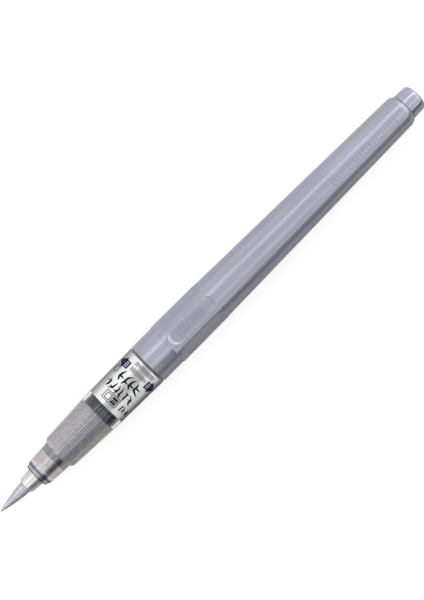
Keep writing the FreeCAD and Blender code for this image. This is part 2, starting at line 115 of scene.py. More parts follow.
def rounded(corners, steps=4):
    """An outline whose corners (u, radius, rounding) are cut back and rounded."""
    outline = []
    count = len(corners)
    for i, corner in enumerate(corners):
        here = np.array(corner[:2], float)
        rounding = corner[2] if len(corner) > 2 else 0
        if not rounding:
            outline.append(tuple(here))
            continue
        before = np.array(corners[i - 1][:2], float) - here
        after = np.array(corners[(i + 1) % count][:2], float) - here
        start = here + before / np.linalg.norm(before) * rounding
        end = here + after / np.linalg.norm(after) * rounding
        for step in range(steps + 1):
            t = step / steps
            outline.append(tuple((1 - t) ** 2 * start + 2 * t * (1 - t) * here + t * t * end))
    return outline


def circle(u, radius, count):
    """Points evenly round the pen's axis."""
    return [around(u, radius, 2 * math.pi * k / count) for k in range(count)]


def join_rings(faces, one, two, count):
    """Adds the faces between two closed rings of points, given the index of the first point of each."""
    for k in range(count):
        m = (k + 1) % count
        faces.append((one + k, one + m, two + m, two + k))


def lathe_mesh(outline, segments=128, closed=True):
    """Points and faces of an outline turned round the pen's axis. A corner on the axis becomes one point."""
    points, faces, rings = [], [], []
    for u, radius in outline:
        if radius < 1e-6:
            rings.append([len(points)] * segments)
            points.append(around(u, 0, 0))
        else:
            rings.append(list(range(len(points), len(points) + segments)))
            points += circle(u, radius, segments)
    pairs = list(zip(rings, rings[1:]))
    if closed:
        pairs.append((rings[-1], rings[0]))
    for one, two in pairs:
        for k in range(segments):
            m = (k + 1) % segments
            corners = []
            for index in (one[k], one[m], two[m], two[k]):
                if index not in corners:
                    corners.append(index)
            if len(corners) > 2:
                faces.append(corners)
    return points, faces


def turn(name, corners, material, body, segments=128, closed=True):
    """A turned piece."""
    points, faces = lathe_mesh(rounded(corners), segments, closed)
    return make_piece(name, points, faces, material, body)


def stadium(length, width, steps=24):
    """The outline of a slot with round ends, as points (along, across) about its centre."""
    reach, radius = (length - width) / 2, width / 2
    outline = []
    for end, start in ((1, -90), (-1, 90)):
        for step in range(steps + 1):
            angle = math.radians(start + 180 * step / steps)
            outline.append((end * reach + radius * math.cos(angle), radius * math.sin(angle)))
    return outline


# ---------------------------------------------------------------- materials


def add_ramp(tree, source, stops):
    """A colour ramp. Each stop is a position and a colour, or a position and a number."""
    made = tree.nodes.new("ShaderNodeValToRGB")
    colours = [(at, (c, c, c) if isinstance(c, (int, float)) else c) for at, c in stops]
    elements = made.color_ramp.elements
    elements[0].position, elements[1].position = colours[0][0], colours[-1][0]
    elements[0].color, elements[1].color = (*colours[0][1], 1), (*colours[-1][1], 1)
    for at, colour in colours[1:-1]:
        elements.new(at).color = (*colour, 1)
    tree.links.new(source, made.inputs["Fac"])
    return made.outputs["Color"]


def add_ramp_between(tree, source, low, high, stops):
    """A colour ramp whose positions 0 and 1 are two values of the source."""
    made = tree.nodes.new("ShaderNodeMapRange")
    made.inputs["From Min"].default_value, made.inputs["From Max"].default_value = low, high
    tree.links.new(source, made.inputs["Value"])
    return add_ramp(tree, made.outputs["Result"], stops)


def add_angle(tree, place):
    """The X part of a place or direction, and its angle round the pen in radians, from +Z towards -Y."""
    apart = tree.nodes.new("ShaderNodeSeparateXYZ")
    tree.links.new(place, apart.inputs["Vector"])
    flipped = tree.nodes.new("ShaderNodeMath")
    flipped.operation = "MULTIPLY"
    flipped.inputs[1].default_value = -1.0
    tree.links.new(apart.outputs["Y"], flipped.inputs[0])
    angle = tree.nodes.new("ShaderNodeMath")
    angle.operation = "ARCTAN2"
    tree.links.new(flipped.outputs["Value"], angle.inputs[0])
    tree.links.new(apart.outputs["Z"], angle.inputs[1])
    return apart.outputs["X"], angle.outputs["Value"]


class Paint:
    """A material with one Principled shader and a few nodes that vary it over the surface."""

    def __init__(self, name, **sockets):
        self.material = bpy.data.materials.new(name)
        self.material.use_nodes = True
        self.tree = self.material.node_tree
        self.shader = self.tree.nodes["Principled BSDF"]
        self.place = self.tree.nodes.new("ShaderNodeTexCoord").outputs["Object"]
        for socket, value in sockets.items():
            self.shader.inputs[socket.replace("_", " ")].default_value = value

    def node(self, kind, **settings):
        made = self.tree.nodes.new(kind)
        for key, value in settings.items():
            setattr(made, key, value)
        return made

    def link(self, output, socket):
        self.tree.links.new(output, socket)

    def stretched(self, scale):
        """The place on the surface with each axis scaled, so that a pattern can run lengthwise."""
        mapping = self.node("ShaderNodeMapping")
        mapping.inputs["Scale"].default_value = scale
        self.link(self.place, mapping.inputs["Vector"])
        return mapping.outputs["Vector"]

    def noise(self, scale, detail=3.0, roughness=0.55, stretch=None):
        made = self.node("ShaderNodeTexNoise")
        made.inputs["Scale"].default_value = scale
        made.inputs["Detail"].default_value = detail
        made.inputs["Roughness"].default_value = roughness
        self.link(self.stretched(stretch) if stretch else self.place, made.inputs["Vector"])
        return made.outputs["Fac"]

    def flakes(self, scale):
        """A random colour for each small cell of the surface."""
        made = self.node("ShaderNodeTexVoronoi")
        made.inputs["Scale"].default_value = scale
        self.link(self.place, made.inputs["Vector"])
        return made.outputs["Color"]

    def ramp(self, source, stops):
        return add_ramp(self.tree, source, stops)

    def mixed(self, one, two, share, blend="MIX"):
        made = self.node("ShaderNodeMix", data_type="RGBA", blend_type=blend)
        for source, socket in ((share, made.inputs[0]), (one, made.inputs[6]), (two, made.inputs[7])):
            if isinstance(source, bpy.types.NodeSocket):
                self.link(source, socket)
            elif isinstance(source, (int, float)):
                socket.default_value = source
            else:
                socket.default_value = (*source, 1)
        return made.outputs[2]

    def colour(self, source):
        self.link(source, self.shader.inputs["Base Color"])

    def rough(self, source, low, high):
        """Roughness that wanders between two values."""
        made = self.node("ShaderNodeMapRange")
        made.inputs["From Min"].default_value, made.inputs["From Max"].default_value = 0.3, 0.7
        made.inputs["To Min"].default_value, made.inputs["To Max"].default_value = low, high
        self.link(source, made.inputs["Value"])
        self.link(made.outputs["Result"], self.shader.inputs["Roughness"])

    def bump(self, source, strength, height_mm, below=None):
        made = self.node("ShaderNodeBump")
        made.inputs["Strength"].default_value = strength
        made.inputs["Distance"].default_value = height_mm * MM
        self.link(source, made.inputs["Height"])
        if below is not None:
            self.link(below, made.inputs["Normal"])
        self.link(made.outputs["Normal"], self.shader.inputs["Normal"])
        return made.outputs["Normal"]

    def round_the_pen(self, stops):
        """Colours by the angle round the pen, in degrees from +Z towards -Y."""
        _, angle = add_angle(self.tree, self.place)
        shares = [((degrees + 180) / 360, colour) for degrees, colour in stops]
        return add_ramp_between(self.tree, angle, -math.pi, math.pi, shares)

    def along(self, stops):
        """Colours by distance behind the brush point."""
        apart = self.node("ShaderNodeSeparateXYZ")
        self.link(self.place, apart.inputs["Vector"])
        first, last = stops[0][0], stops[-1][0]
        shares = [((u - first) / (last - first), colour) for u, colour in stops]
        return add_ramp_between(self.tree, apart.outputs["X"], x_at(first), x_at(last), shares)


def pearl_paint(name, smooth, dull, grain, metal, lift):
    """Lilac-silver plastic filled with fine metal flake, which lines up along the pen as the plastic flows.

    Its roughness wanders from smooth to dull, grain is the strength of its skin's bump, and lift brightens it.
    """
    paint = Paint(name, Metallic=metal, IOR=1.48, Coat_Weight=0.30, Coat_Roughness=smooth * 0.6)
    flow = paint.noise(1.0, 4.0, 0.6, stretch=(45, 700, 700))
    base = paint.ramp(flow, [
        (0.30, (0.385, 0.382, 0.470)), (0.52, (0.430, 0.428, 0.515)), (0.72, (0.475, 0.475, 0.560)),
    ])
    sparkle = paint.ramp(paint.flakes(5200), [(0.0, 0.88), (0.55, 1.0), (0.93, 1.03), (1.0, 1.08)])
    clouds = paint.ramp(paint.noise(95, 2.0), [
        (0.3, (0.97 * lift, 0.98 * lift, 1.02 * lift)), (0.7, (1.03 * lift, 1.02 * lift, 0.99 * lift)),
    ])
    flaked = paint.mixed(base, sparkle, 0.55, "MULTIPLY")
    paint.colour(paint.mixed(flaked, clouds, 1.0, "MULTIPLY"))
    paint.rough(paint.noise(260, 3.0), smooth, dull)
    skin = paint.bump(paint.noise(2600, 2.0), grain, 0.02)
    paint.bump(paint.noise(900, 2.0), grain, 0.03, below=skin)
    return paint.material


def silver_paint():
    """The nozzle's bright silver, with fine turning lines and a faint haze."""
    paint = Paint("nozzle_silver", Metallic=0.74, IOR=1.5, Coat_Weight=0.4, Coat_Roughness=0.05)
    lines = paint.noise(1.0, 3.0, 0.5, stretch=(2600, 220, 220))
    paint.colour(paint.ramp(lines, [(0.3, (0.74, 0.71, 0.76)), (0.7, (0.88, 0.85, 0.89))]))
    paint.rough(paint.noise(700, 3.0), 0.20, 0.30)
    paint.bump(paint.noise(1.0, 2.0, 0.5, stretch=(5200, 150, 150)), 0.08, 0.02)
    return paint.material


def hair_paint():
    """Fine synthetic hair, pale lilac, with each lock a little lighter or darker, and painted light and shade
    round it.
    """
    paint = Paint("hair", Metallic=0.55, IOR=1.5, Sheen_Weight=0.1, Coat_Weight=0.4, Coat_Roughness=0.12)
    locks = paint.noise(1.0, 4.0, 0.65, stretch=(160, 3600, 3600))
    base = paint.ramp(locks, [(0.28, (0.46, 0.45, 0.53)), (0.5, (0.66, 0.65, 0.73)), (0.72, (0.84, 0.83, 0.90))])
    # Painted light and shade by the angle round the tuft: a painted highlight near +Z, painted shade on the -Y
    # side.
    sides = paint.round_the_pen([
        (-180, 0.80), (-80, 0.80), (-45, 0.90), (-15, 1.12), (8, 1.15), (28, 0.86), (52, 0.60), (72, 0.62),
        (180, 0.80),
    ])
    paint.colour(paint.mixed(base, sides, 1.0, "MULTIPLY"))
    paint.rough(paint.noise(1.0, 3.0, stretch=(300, 2500, 2500)), 0.18, 0.30)
    paint.bump(locks, 0.35, 0.04)
    return paint.material


def clear_paint():
    """Clear moulded plastic that bends the light, with a faint tint and fine drag lines along the pen."""
    paint = Paint("clear_plastic", IOR=1.49, Transmission_Weight=1.0)
    lines = paint.noise(1.0, 4.0, 0.6, stretch=(20, 1500, 1500))
    streaked = paint.ramp(lines, [(0.3, (0.93, 0.93, 0.95)), (0.7, (1.0, 0.99, 0.985))])
    tint = paint.along([
        (14.0, (0.98, 0.98, 0.98)), (38.4, (0.96, 0.96, 0.96)), (38.8, (0.86, 0.78, 0.74)),
        (58.5, (0.86, 0.78, 0.74)),
    ])
    paint.colour(paint.mixed(streaked, tint, 1.0, "MULTIPLY"))
    paint.rough(paint.noise(900, 3.0), 0.03, 0.07)
    paint.bump(lines, 0.10, 0.02)
    return paint.material


def foil_paint():
    """The label's silver foil: satin metal with faint wrinkles, and soft grey bands along the pen that are
    painted light and shade.
    """
    paint = Paint("foil", Metallic=0.25, IOR=1.5, Coat_Weight=0.25, Coat_Roughness=0.15)
    rolled = paint.ramp(paint.noise(1.0, 3.0, 0.6, stretch=(120, 1500, 1500)), [(0.3, 0.94), (0.7, 1.03)])
    scuffs = paint.ramp(paint.noise(1300, 4.0, 0.7), [(0.58, (1.0, 1.0, 1.0)), (0.72, (0.93, 0.93, 0.94))])
    # Painted light and shade by the angle round the pen: painted reflections in the bright bands, painted shade
    # in the dark ones.
    bands = paint.round_the_pen([
        (-180, 0.80), (-110, 0.40), (-80, 0.22), (-66, 0.26), (-52, 0.55), (-38, 0.88), (-14, 0.90),
        (-7, 0.62), (2, 0.47), (14, 0.50), (22, 0.90), (28, 1.0), (48, 1.0), (55, 0.62), (64, 0.22),
        (78, 0.16), (110, 0.40), (180, 0.80),
    ])
    paint.colour(paint.mixed(paint.mixed(bands, rolled, 1.0, "MULTIPLY"), scuffs, 1.0, "MULTIPLY"))
    paint.rough(paint.noise(420, 3.0), 0.34, 0.44)
    paint.bump(paint.noise(330, 3.0), 0.05, 0.05)
    return paint.material


def ink_paint(name, dark, light):
    """Printed ink on the foil, a little uneven, as a roller leaves it."""
    paint = Paint(name, IOR=1.25)
    paint.colour(paint.ramp(paint.noise(2600, 3.0, 0.7), [(0.35, dark), (0.75, light)]))
    paint.rough(paint.noise(1500, 2.0), 0.55, 0.75)
    paint.bump(paint.noise(4200, 2.0), 0.15, 0.01)
    return paint.material


def plastic_paint(name, dark, light, low, high, grain=700, stretch=None, strength=0.12, **sockets):
    """Moulded plastic or rubber with mottled colour and a fine skin."""
    paint = Paint(name, IOR=1.49, **sockets)
    mottle = paint.noise(1.0 if stretch else grain, 4.0, 0.6, stretch=stretch)
    paint.colour(paint.ramp(mottle, [(0.3, dark), (0.7, light)]))
    paint.rough(paint.noise(grain * 0.6, 3.0), low, high)
    paint.bump(paint.noise(grain * 2.5, 3.0), strength, 0.03)
    return paint.material


PEARL = pearl_paint("pearl_plastic", 0.18, 0.28, 0.08, 0.56, 1.0)
POLISHED_PEARL = pearl_paint("polished_pearl_plastic", 0.07, 0.11, 0.02, 0.70, 1.18)
SILVER = silver_paint()
HAIR = hair_paint()
CLEAR = clear_paint()
FOIL = foil_paint()
NAVY_INK = ink_paint("navy_ink", (0.004, 0.010, 0.035), (0.012, 0.026, 0.070))
BLACK_INK = ink_paint("black_ink", (0.004, 0.004, 0.005), (0.012, 0.012, 0.014))
GREY_INK = ink_paint("grey_ink", (0.08, 0.08, 0.085), (0.16, 0.16, 0.17))
WHITE_INK = ink_paint("white_ink", (0.72, 0.74, 0.78), (0.84, 0.85, 0.88))

DARK = plastic_paint("dark_plastic", (0.005, 0.018, 0.085), (0.016, 0.042, 0.150), 0.35, 0.50)
RIB = plastic_paint("rib_plastic", (0.050, 0.090, 0.180), (0.090, 0.140, 0.270), 0.30, 0.45)
RIB_CORE = plastic_paint("rib_core_plastic", (0.18, 0.28, 0.44), (0.26, 0.38, 0.56), 0.30, 0.45, Metallic=0.3)


def holder_paint():
    """The tip holder: a cream flange, a beige body and a white collar, and smoke grey behind it, with painted
    light and shade.
    """
    paint = Paint("cream_plastic", IOR=1.49, Metallic=0.2, Coat_Weight=0.4, Coat_Roughness=0.08)
    zones = paint.along([
        (16.9, (1.0, 0.98, 1.0)), (17.9, (1.0, 0.98, 0.93)), (18.1, (0.86, 0.78, 0.75)),
        (20.2, (0.92, 0.83, 0.80)), (20.4, (1.0, 0.99, 0.97)), (20.75, (1.0, 0.99, 0.97)),
        (20.85, (0.40, 0.40, 0.43)), (23.9, (0.42, 0.42, 0.46)),
    ])
    # Painted light and shade by the angle round the pen: a painted highlight near +Z, painted shade in a band on
    # the -Y side and underneath.
    painted_light_and_shade = paint.round_the_pen([
        (-180, (0.45, 0.45, 0.45)), (-95, (0.80, 0.80, 0.82)), (-60, (0.82, 0.80, 0.84)),
        (-34, (0.90, 0.88, 0.92)), (-22, (1.0, 1.0, 1.0)), (8, (1.0, 1.0, 1.0)), (14, (0.55, 0.55, 0.62)),
        (24, (0.20, 0.19, 0.26)), (38, (0.20, 0.19, 0.26)), (46, (0.55, 0.54, 0.54)),
        (60, (0.95, 0.93, 0.90)), (180, (0.45, 0.45, 0.45)),
    ])
    mottle = paint.ramp(paint.noise(1.0, 4.0, 0.6, stretch=(500, 1800, 1800)), [(0.3, 0.92), (0.7, 1.04)])
    paint.colour(paint.mixed(paint.mixed(zones, painted_light_and_shade, 1.0, "MULTIPLY"), mottle, 1.0, "MULTIPLY"))
    paint.rough(paint.noise(800, 3.0), 0.18, 0.30)
    paint.bump(paint.noise(1800, 3.0), 0.10, 0.03)
    return paint.material


def housing_paint(name, strength):
    """The feed housing's smoke-grey plastic with lines along the pen, and painted light and shade round it.

    The half towards +Y is painted paler, with a painted highlight near +Z and painted shade on the -Y side.
    The strength scales its brightness: a darker copy is painted shade in the bottoms of the flutes.
    """
    paint = Paint(name, IOR=1.49, Metallic=0.25, Coat_Weight=0.3)
    # Painted light and shade by the angle round the pen: a painted highlight near +Z, the +Y half painted paler,
    # painted shade on the -Y side.
    painted_light_and_shade_halves = paint.round_the_pen([
        (-180, (0.42, 0.42, 0.48)), (-120, (0.58, 0.57, 0.61)), (-50, (0.70, 0.68, 0.73)),
        (-24, (0.74, 0.73, 0.77)), (-14, (0.80, 0.79, 0.81)), (-4, (0.94, 0.93, 0.95)), (0, (0.58, 0.57, 0.62)),
        (10, (0.51, 0.50, 0.57)), (20, (0.58, 0.57, 0.66)), (26, (0.45, 0.45, 0.53)), (34, (0.36, 0.36, 0.43)),
        (46, (0.42, 0.43, 0.44)), (64, (0.74, 0.72, 0.66)), (180, (0.42, 0.42, 0.48)),
    ])
    lines = paint.noise(1.0, 4.0, 0.6, stretch=(16, 1500, 1500))
    streaks = paint.ramp(lines, [(0.3, 0.80 * strength), (0.7, 1.20 * strength)])
    paint.colour(paint.mixed(painted_light_and_shade_halves, streaks, 1.0, "MULTIPLY"))
    paint.rough(paint.noise(420, 3.0), 0.22, 0.36)
    paint.bump(paint.noise(1750, 3.0), 0.12, 0.03)
    return paint.material


CREAM = holder_paint()
SMOKE = housing_paint("smoke_plastic", 1.0)
# A darker copy of the smoke plastic: painted shade for the bottoms of the flutes.
SMOKE_GROOVE_SHADE = housing_paint("smoke_groove_shade", 0.30)
CAD_PAINTS = {
    "tuft_root": plastic_paint("root_plastic", (0.42, 0.42, 0.48), (0.55, 0.55, 0.60), 0.45, 0.60),
    "comb_feed": plastic_paint("feed_plastic", (0.20, 0.21, 0.24), (0.30, 0.31, 0.35), 0.40, 0.55),
    "ink_wick": plastic_paint("fibre", (0.66, 0.66, 0.70), (0.86, 0.86, 0.90), 0.75, 0.95,
                              stretch=(400, 6000, 6000), strength=0.4),
    "feed_pipe": plastic_paint("pipe_plastic", (0.26, 0.27, 0.31), (0.36, 0.37, 0.41), 0.35, 0.50),
    # The seal's rubber is painted a lighter grey than dark rubber: painted light against the shade of its deep
    # groove.
    "seal_ring": plastic_paint("seal_rubber", (0.22, 0.22, 0.26), (0.30, 0.30, 0.35), 0.55, 0.75, strength=0.3),
    "cartridge_tube": plastic_paint("milky_plastic", (0.60, 0.61, 0.66), (0.74, 0.75, 0.79), 0.30, 0.45,
                                    stretch=(60, 900, 900), Subsurface_Weight=0.2),
    "cartridge_mouth": plastic_paint("mouth_plastic", (0.58, 0.59, 0.64), (0.72, 0.73, 0.77), 0.35, 0.50),
    "mouth_seal": plastic_paint("sleeve_rubber", (0.040, 0.040, 0.046), (0.075, 0.075, 0.084), 0.55, 0.75,
                                strength=0.3),
    "mixing_ball": plastic_paint("steel", (0.50, 0.50, 0.52), (0.66, 0.66, 0.68), 0.10, 0.20,
                                 strength=0.05, Metallic=1.0),
}
for node, material in CAD_PAINTS.items():
    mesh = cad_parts[node].data
    mesh.materials.clear()
    mesh.materials.append(material)


# ---------------------------------------------------------------- brush and nozzle

HAIR_U = [0.0, 0.5, 1.3, 2.6, 4.2, 6.5, 9.0, 11.6]
HAIR_RADIUS = [0.10, 0.30, 0.49, 0.78, 1.11, 1.49, 1.74, 1.86]
HAIR_ROOT_U = 11.0
LOCKS, LOCK_DEPTH, WAVE_DEPTH, TUFT_COLUMNS = 23, 0.035, 0.012, 144
STRANDS, STRAND_SIDES, STRAND_STEPS = 230, 4, 14


def hair_radius(u):
    """The tuft's radius, eased over a millimetre."""
    return float(np.mean(np.interp(np.clip(u + np.linspace(-0.5, 0.5, 9), 0, 12), HAIR_U, HAIR_RADIUS)))


def make_tuft():
    """The tuft's core, a body of locks drawn to a point, and the loose strands that lie on it."""
    points, faces = [around(0.0, 0, 0)], []
    rows = [0.06, 0.16, 0.3, 0.5, 0.75] + list(np.linspace(1.05, HAIR_ROOT_U, 56))
    phases = RANDOM.uniform(0, 2 * math.pi, 3)
    for row, u in enumerate(rows):
        for k in range(TUFT_COLUMNS):
            angle = 2 * math.pi * k / TUFT_COLUMNS
            groove = 0.5 + 0.5 * math.cos(LOCKS * angle + 0.16 * u + phases[0])
            wave = 0.6 * math.sin(9 * angle + 0.35 * u + phases[1]) + 0.4 * math.sin(41 * angle + phases[2])
            depth = LOCK_DEPTH * groove ** 2 + WAVE_DEPTH * wave
            points.append(around(u, hair_radius(u) * (1 - depth), angle))
        start = 1 + row * TUFT_COLUMNS
        if row == 0:
            faces += [(0, start + (k + 1) % TUFT_COLUMNS, start + k) for k in range(TUFT_COLUMNS)]
        else:
            join_rings(faces, start - TUFT_COLUMNS, start, TUFT_COLUMNS)
    faces.append(list(range(start, start + TUFT_COLUMNS)))
    core = make_piece("brush_core", points, faces, HAIR, None, sharp_degrees=60)

    points, faces = [], []
    for strand in range(STRANDS):
        angle = 2 * math.pi * (strand + RANDOM.uniform(-0.4, 0.4)) / STRANDS
        drift = RANDOM.normal(0, 0.05)
        lift = RANDOM.uniform(0.965, 1.012)
        end = 0.02 + 3.6 * RANDOM.random() ** 2.4
        thick = RANDOM.uniform(0.032, 0.055)
        first = len(points)
        for step in range(STRAND_STEPS + 1):
            t = step / STRAND_STEPS
            u = HAIR_ROOT_U + (end - HAIR_ROOT_U) * t ** 0.9
            turned = angle + drift * t * t
            radius = max(hair_radius(u) * lift - 0.01, 0.0)
            width = thick * min(1.0, 0.12 + 1.6 * (1 - t)) * min(1.0, 0.15 + radius)
            for side in range(STRAND_SIDES):
                way = 2 * math.pi * side / STRAND_SIDES
                out = radius + width * math.cos(way)
                points.append(around(u, out, turned + width * math.sin(way) / max(radius, 0.08)))
            if step:
                low = first + (step - 1) * STRAND_SIDES
                join_rings(faces, low, low + STRAND_SIDES, STRAND_SIDES)
        for end_ring in (first, first + STRAND_STEPS * STRAND_SIDES):
            faces.append(list(range(end_ring, end_ring + STRAND_SIDES)))
    loose = make_piece("brush_strands", points, faces, HAIR, None, sharp_degrees=180)
    for piece in (core, loose):
        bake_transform(piece)
    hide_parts("brush_tuft")


make_tuft()

nozzle = turn(
    "nozzle_cone",
    [
        (10.10, 2.25, 0.08), (10.35, 2.40, 0.10), (14.40, 2.80, 0.05), (14.40, 2.78), (16.45, 2.80),
        (16.45, 3.20, 0.08), (17.00, 3.20, 0.08), (17.00, 2.40), (13.10, 2.40, 0.05), (13.10, 2.05),
        (10.10, 2.05, 0.06),
    ],
    SILVER, "front",
)
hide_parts("nozzle")

ring = turn(
    "retainer_ring_clear",
    [(14.60, 2.86), (14.60, 3.75, 0.10), (15.35, 4.02, 0.12), (15.35, 2.86)],
    CLEAR, "front",
)
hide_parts("retainer_ring")

# Two thin dark gaskets, before the retainer ring and in the clear collar behind it: front, rear and both radii.
GASKETS = {"nozzle_gasket": (14.36, 14.56, 2.84, 3.70), "collar_gasket": (15.74, 15.96, 3.30, 4.02)}
for name, (front, rear, inner, outer) in GASKETS.items():
    corners = [(front, inner), (front, outer, 0.05), (rear, outer, 0.05), (rear, inner)]
    turn(name, corners, DARK, "front")

# ---------------------------------------------------------------- clear front section

# Its bore is a little tighter than the CAD's, so that the housing and the holder touch it and fill it when seen
# through the plastic, as in the photograph.
section = turn(
    "front_section_clear",
    [
        (15.40, 3.02), (15.40, 4.05, 0.12), (15.90, 4.20, 0.15), (22.80, 4.61, 0.35), (23.70, 5.45, 0.25),
        (41.90, 6.30, 0.06), (41.90, 6.20), (57.90, 6.43), (57.90, 6.51, 0.03), (58.23, 6.51, 0.03),
        (58.23, 5.45, 0.05), (38.70, 5.45), (38.70, 4.05), (24.05, 4.05), (24.05, 3.02),
    ],
    CLEAR, "front",
)
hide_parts("front_section")

HOLDER_FRONT, HOLDER_REAR, HOLDER_RADIUS = span("tip_holder")
holder = turn(
    "tip_holder_bush",
    [
        (HOLDER_FRONT, 1.0), (HOLDER_FRONT, HOLDER_RADIUS, 0.12), (17.55, HOLDER_RADIUS, 0.05),
        (17.65, 3.02, 0.05), (20.35, 3.10, 0.05), (20.42, HOLDER_RADIUS, 0.04), (20.75, HOLDER_RADIUS, 0.04),
        (20.85, 3.08, 0.05), (HOLDER_REAR - 0.7, 3.12, 0.05), (HOLDER_REAR - 0.6, HOLDER_RADIUS, 0.05),
        (HOLDER_REAR, HOLDER_RADIUS, 0.08), (HOLDER_REAR, 1.0),
    ],
    CREAM, "front",
)
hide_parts("tip_holder")

HOUSING_FRONT, HOUSING_REAR, HOUSING_RADIUS = span("feed_housing")
FLUTES, FLUTE_DEPTH, FLUTE_COLUMNS, NOSE_FRONT = 44, 0.16, 8, 22.7


def make_housing():
    """The feed housing: a tube with fine flutes along it, and a nose inside the clear section's step."""
    columns = FLUTES * FLUTE_COLUMNS
    profile = [
        (HOUSING_FRONT, 1.0, False), (HOUSING_FRONT, 3.1, False), (NOSE_FRONT, 3.1, False),
        (NOSE_FRONT, 3.4, False), (HOUSING_FRONT - 0.1, HOUSING_RADIUS - 0.05, False),
        (HOUSING_FRONT, HOUSING_RADIUS, True),
        (HOUSING_REAR, HOUSING_RADIUS, True), (HOUSING_REAR, 3.75, False),
        (HOUSING_FRONT + 0.8, 3.75, False), (HOUSING_FRONT + 0.8, 1.0, False),
    ]
    points, faces = [], []
    for u, radius, fluted in profile:
        for k in range(columns):
            angle = 2 * math.pi * k / columns
            groove = abs(math.cos(FLUTES * angle / 2)) ** 3 if fluted else 0
            points.append(around(u, radius - FLUTE_DEPTH * groove, angle))
    for row in range(len(profile)):
        join_rings(faces, row * columns, (row + 1) % len(profile) * columns, columns)
    housing = make_piece("feed_housing_fluted", points, faces, SMOKE, "front")
    # The faces at the bottoms of the flutes get the darker copy of the plastic: painted shade in the creases.
    housing.data.materials.append(SMOKE_GROOVE_SHADE)
    fluted_row = [fluted for _, _, fluted in profile].index(True)
    for k in range(columns):
        if k % FLUTE_COLUMNS in (0, FLUTE_COLUMNS - 1):
            housing.data.polygons[fluted_row * columns + k].material_index = 1
    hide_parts("feed_housing")


make_housing()

RING_FRONT, RING_REAR, RING_RADIUS = span("holder_ring")
RIB_REAR, RIB_COUNT, RIB_WIDTH, RIB_CORE_RADIUS = 40.9, 30, 0.50, 4.75


def make_ribbed_ring():
    """The ring that locks the feed housing: a plain dark band, and dark ribs standing on a lighter core."""
    band = turn(
        "holder_ring_band",
        [(RIB_REAR, 4.35), (RIB_REAR, RING_RADIUS, 0.06), (RING_REAR, RING_RADIUS, 0.06), (RING_REAR, 4.35)],
        DARK, "front",
    )
    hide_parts("holder_ring")
    turn(
        "holder_ring_core",
        [(RING_FRONT, 4.35), (RING_FRONT, RIB_CORE_RADIUS, 0.10), (RIB_REAR, RIB_CORE_RADIUS), (RIB_REAR, 4.35)],
        RIB_CORE, "front",
    )
    points, faces = [], []
    section = ((-0.5, 0.0), (-0.5, 0.86), (-0.36, 1.0), (0.36, 1.0), (0.5, 0.86), (0.5, 0.0))
    for rib in range(RIB_COUNT):
        middle = 2 * math.pi * rib / RIB_COUNT
        start = len(points)
        for u, lift in ((RING_FRONT, 0.82), (RING_FRONT + 0.15, 1.0), (RIB_REAR, 1.0)):
            for over, up in section:
                radius = RIB_CORE_RADIUS - 0.05 + (RING_RADIUS - 0.02 - RIB_CORE_RADIUS) * up * lift
                points.append(around(u, radius, middle + over * RIB_WIDTH / RIB_CORE_RADIUS))
        sides = len(section)
        for ring_start in (start, start + sides):
            join_rings(faces, ring_start, ring_start + sides, sides)
        for end_ring in (start, start + 2 * sides):
            faces.append(list(range(end_ring, end_ring + sides)))
    make_piece("holder_ring_ribs", points, faces, RIB, "front")


make_ribbed_ring()

# ---------------------------------------------------------------- label

LABEL_FRONT, LABEL_REAR, LABEL_RADIUS = span("label")
LABEL_FRONT_RADIUS = LABEL_RADIUS - 0.23
FOIL_THICKNESS = 0.055


def foil_radius(u):
    """The outer radius of the foil."""
    return float(np.interp(u, [LABEL_FRONT, LABEL_REAR], [LABEL_FRONT_RADIUS, LABEL_RADIUS]))


def make_label():
    """The foil sheet wrapped round the section, with a narrow gap at its seam on the far side."""
    columns, rows, seam = 180, 24, 0.35
    points, faces = [], []
    per_side = (columns + 1) * (rows + 1)
    for inset in (0.0, FOIL_THICKNESS):
        for row in range(rows + 1):
            u = LABEL_FRONT + (LABEL_REAR - LABEL_FRONT) * row / rows
            radius = foil_radius(u) - inset
            for column in range(columns + 1):
                half = math.pi - seam / radius / 2
                points.append(around(u, radius, half * (2 * column / columns - 1)))
    for side in range(2):
        for row in range(rows):
            for column in range(columns):
                a = side * per_side + row * (columns + 1) + column
                faces.append((a, a + 1, a + columns + 2, a + columns + 1))
    for row in (0, rows):
        for column in range(columns):
            a = row * (columns + 1) + column
            faces.append((a, a + 1, a + 1 + per_side, a + per_side))
    for column in (0, columns):
        for row in range(rows):
            a = row * (columns + 1) + column
            faces.append((a, a + columns + 1, a + columns + 1 + per_side, a + per_side))
    label = make_piece("label_foil", points, faces, FOIL, "front")
    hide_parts("label")


make_label()
PRINT_LOW, PRINT_HIGH, STROKE_STEP = 0.004, 0.014, 0.35


def across(u, s):
    """The angle at which a point of the label is seen s millimetres to the side of the pen's axis."""
    return math.asin(max(-0.995, min(0.995, s / foil_radius(u))))


